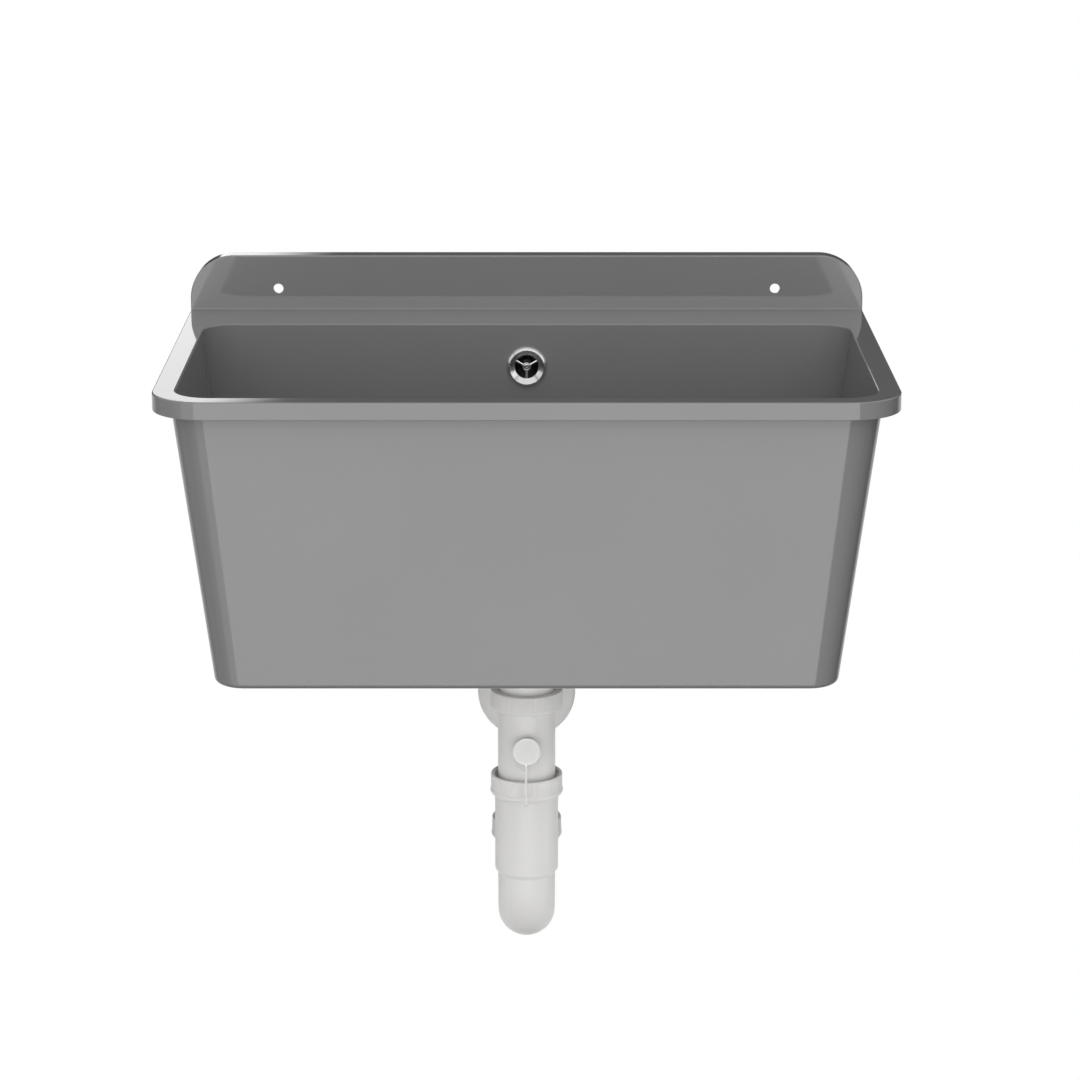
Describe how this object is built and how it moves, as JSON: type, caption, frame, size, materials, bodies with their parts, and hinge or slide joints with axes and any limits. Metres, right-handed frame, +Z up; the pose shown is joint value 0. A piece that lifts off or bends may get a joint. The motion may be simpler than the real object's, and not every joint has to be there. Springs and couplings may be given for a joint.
{
  "type": "mop service sink",
  "caption": "Wall-hung utility sink: moulded grey basin with raised back, flat rim and overflow, on a white plastic tube trap with telescopic joints, capped appliance nozzle and wall rosette.",
  "frame": {"origin": "on the wall plane, on the middle rib of the raised back, midway between the axes of the two wall screw holes", "axes": "+X to the right, +Y into the wall, +Z up; the sink's front faces -Y"},
  "size_m": [0.6, 0.445, 0.5772],
  "materials": {
    "basin": "smooth moulded grey, glossy",
    "white_plastic": "satin white moulded",
    "hose": "ribbed, satin",
    "chrome": "polished",
    "steel": "brushed",
    "rubber": "matt"
  },
  "bodies": {
    "sink": {"basin": "basin", "waste_seal_upper": "rubber", "waste_strainer": "steel", "waste_seal_lower": "rubber", "waste_body": "white_plastic", "overflow_ring": "chrome", "overflow_seal": "rubber", "overflow_elbow": "white_plastic", "overflow_hose": "hose", "hose_clips": "steel", "union_seal": "rubber"},
    "waste_screw": {"waste_screw": "steel"},
    "overflow_screw": {"overflow_screw": "steel"},
    "union_nut": {"union_nut": "white_plastic"},
    "inlet": {"inlet_tube": "white_plastic"},
    "branch_cap": {"branch_cap": "white_plastic"},
    "bend": {"front_socket": "white_plastic", "front_turn": "white_plastic", "rear_turn": "white_plastic", "rear_socket": "white_plastic", "front_seal": "rubber", "rear_seal": "rubber"},
    "front_nut": {"front_nut": "white_plastic"},
    "rear_nut": {"rear_nut": "white_plastic"},
    "outlet": {"outlet_leg": "white_plastic", "outlet_elbow": "white_plastic", "wall_pipe": "white_plastic"},
    "rosette": {"wall_rosette": "white_plastic"}
  },
  "joints": [
    {"name": "waste_screw_turn", "type": "hinge", "parent": "sink", "child": "waste_screw", "pos_m": [0, -0.222, -0.27], "axis": [0, 0, 1], "continuous": true},
    {"name": "overflow_screw_turn", "type": "hinge", "parent": "sink", "child": "overflow_screw", "pos_m": [0, -0.08343, -0.057], "axis": [0, 0.9994, -0.0349], "continuous": true},
    {"name": "union_nut_turn", "type": "hinge", "parent": "sink", "child": "union_nut", "pos_m": [0, -0.222, -0.319], "axis": [0, 0, 1], "continuous": true},
    {"name": "trap_swivel", "type": "hinge", "parent": "sink", "child": "inlet", "pos_m": [0, -0.222, -0.33], "axis": [0, 0, 1], "continuous": true},
    {"name": "cap_pull", "type": "slide", "parent": "inlet", "child": "branch_cap", "axis": [0, -0.809, 0.5878], "range_m": [0, 0.02]},
    {"name": "trap_height", "type": "slide", "parent": "inlet", "child": "bend", "axis": [0, 0, 1], "range_m": [-0.03, 0.008]},
    {"name": "front_nut_turn", "type": "hinge", "parent": "bend", "child": "front_nut", "pos_m": [0, -0.222, -0.394], "axis": [0, 0, 1], "continuous": true},
    {"name": "rear_nut_turn", "type": "hinge", "parent": "bend", "child": "rear_nut", "pos_m": [0, -0.134, -0.464], "axis": [0, 0, 1], "continuous": true},
    {"name": "outlet_swivel", "type": "hinge", "parent": "bend", "child": "outlet", "pos_m": [0, -0.134, -0.45], "axis": [0, 0, 1], "range_deg": [-120, 120]},
    {"name": "rosette_slide", "type": "slide", "parent": "outlet", "child": "rosette", "axis": [0, 1, 0], "range_m": [-0.05, 0]}
  ]
}
